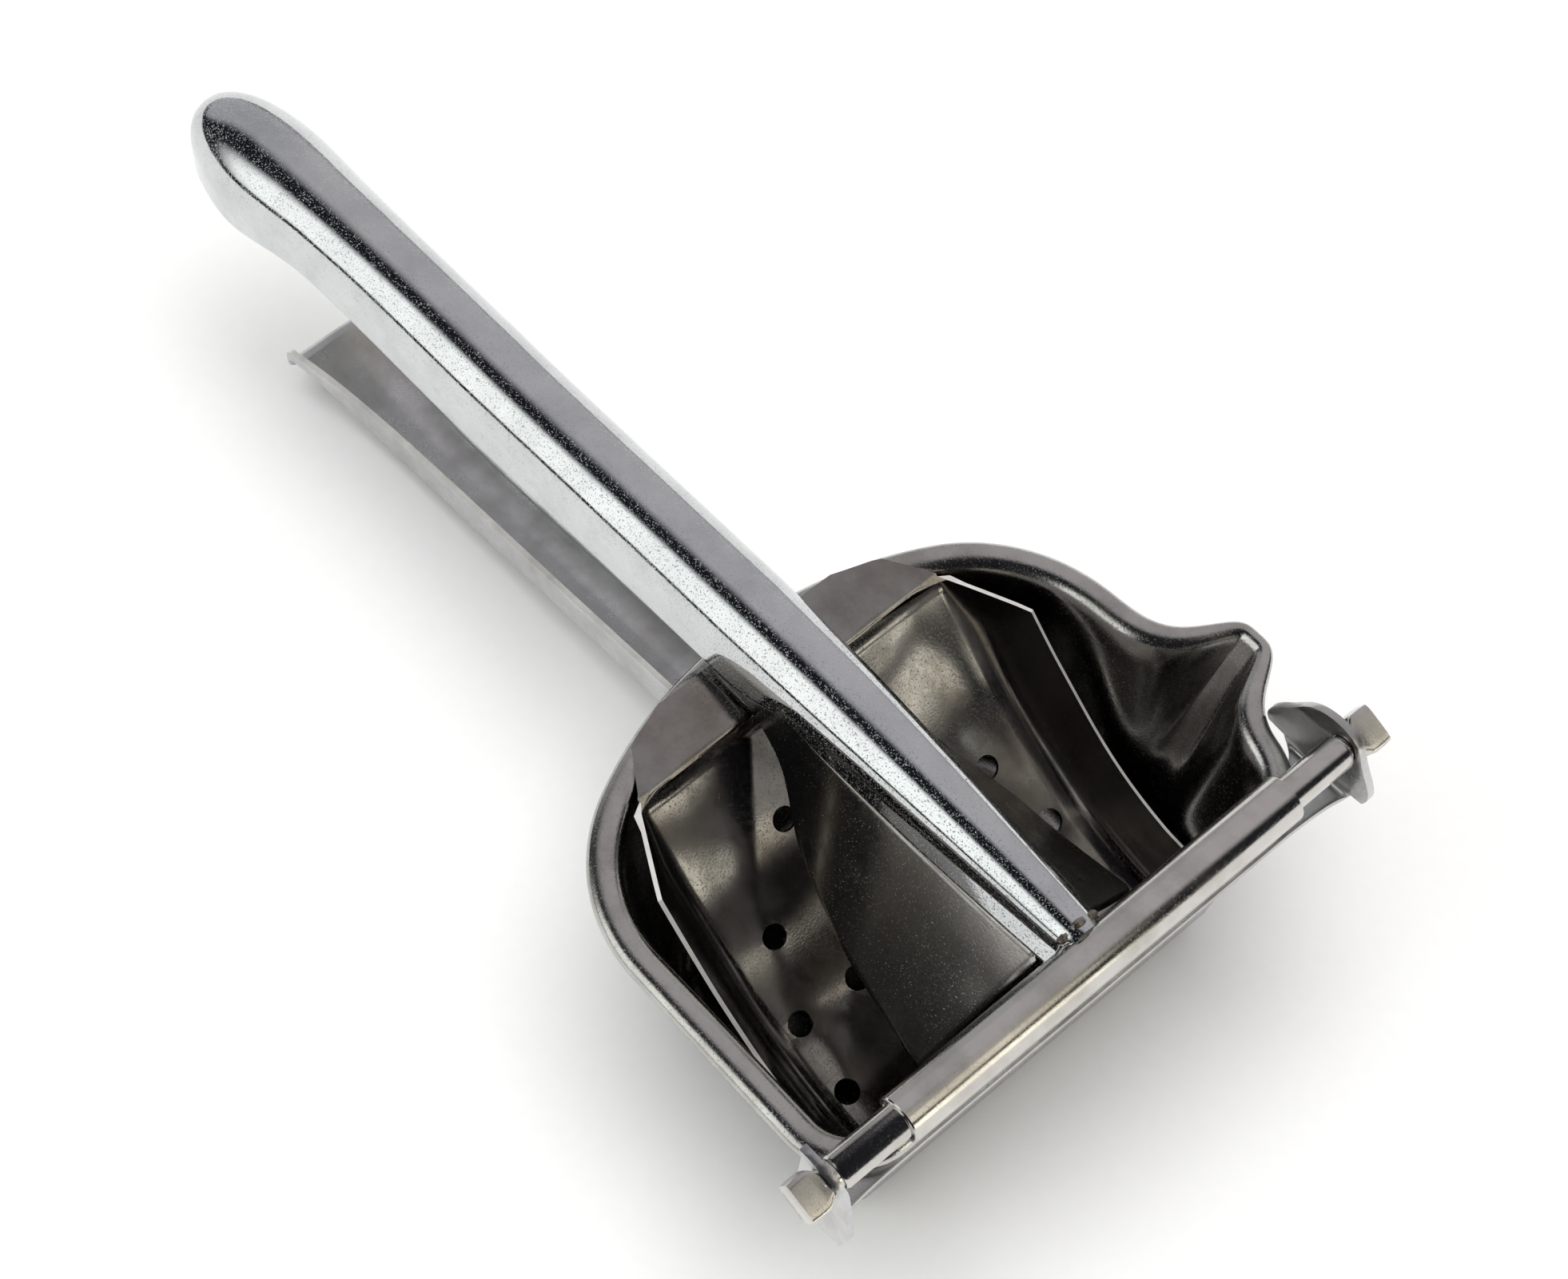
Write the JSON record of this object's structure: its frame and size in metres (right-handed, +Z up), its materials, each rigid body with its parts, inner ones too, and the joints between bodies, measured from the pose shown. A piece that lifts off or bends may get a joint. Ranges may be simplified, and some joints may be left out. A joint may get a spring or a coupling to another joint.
{
  "type": "potato ricer",
  "caption": "All-steel hand press: a spouted D-shaped bowl with a perforated basket, and a hinged lever with a flared press plate and a channel handle.",
  "frame": {"origin": "middle of the bowl's flat underside", "axes": "+X from the handles toward the hinge, +Y toward the pouring spout, +Z up"},
  "size_m": [0.2512, 0.1346, 0.0686],
  "materials": {
    "drawn_satin_steel": "satin, deep drawn",
    "pressed_steel": "bright pressed sheet",
    "polished_steel": "polished sheet",
    "filter_steel": "bright, slightly dented sheet",
    "turned_steel": "bright drawn bar and tube",
    "weld_steel": "fused, heat tinted"
  },
  "bodies": {
    "bowl_body": {"bowl": "drawn_satin_steel", "lower_handle": "pressed_steel", "handle_welds": "weld_steel", "hinge_bracket": "pressed_steel", "bracket_welds": "weld_steel", "filter_basket": "filter_steel"},
    "lever": {"upper_handle": "polished_steel", "press_plate": "polished_steel", "hinge_sleeve": "turned_steel", "sleeve_welds": "weld_steel"},
    "pin": {"hinge_pin": "turned_steel"}
  },
  "joints": [
    {"name": "lever_hinge", "type": "hinge", "parent": "bowl_body", "child": "lever", "pos_m": [0.045, 0, 0.062], "axis": [0, 1, 0], "range_deg": [0, 150]},
    {"name": "pin_spin", "type": "hinge", "parent": "bowl_body", "child": "pin", "pos_m": [0.045, 0, 0.062], "axis": [0, 1, 0], "continuous": true}
  ]
}
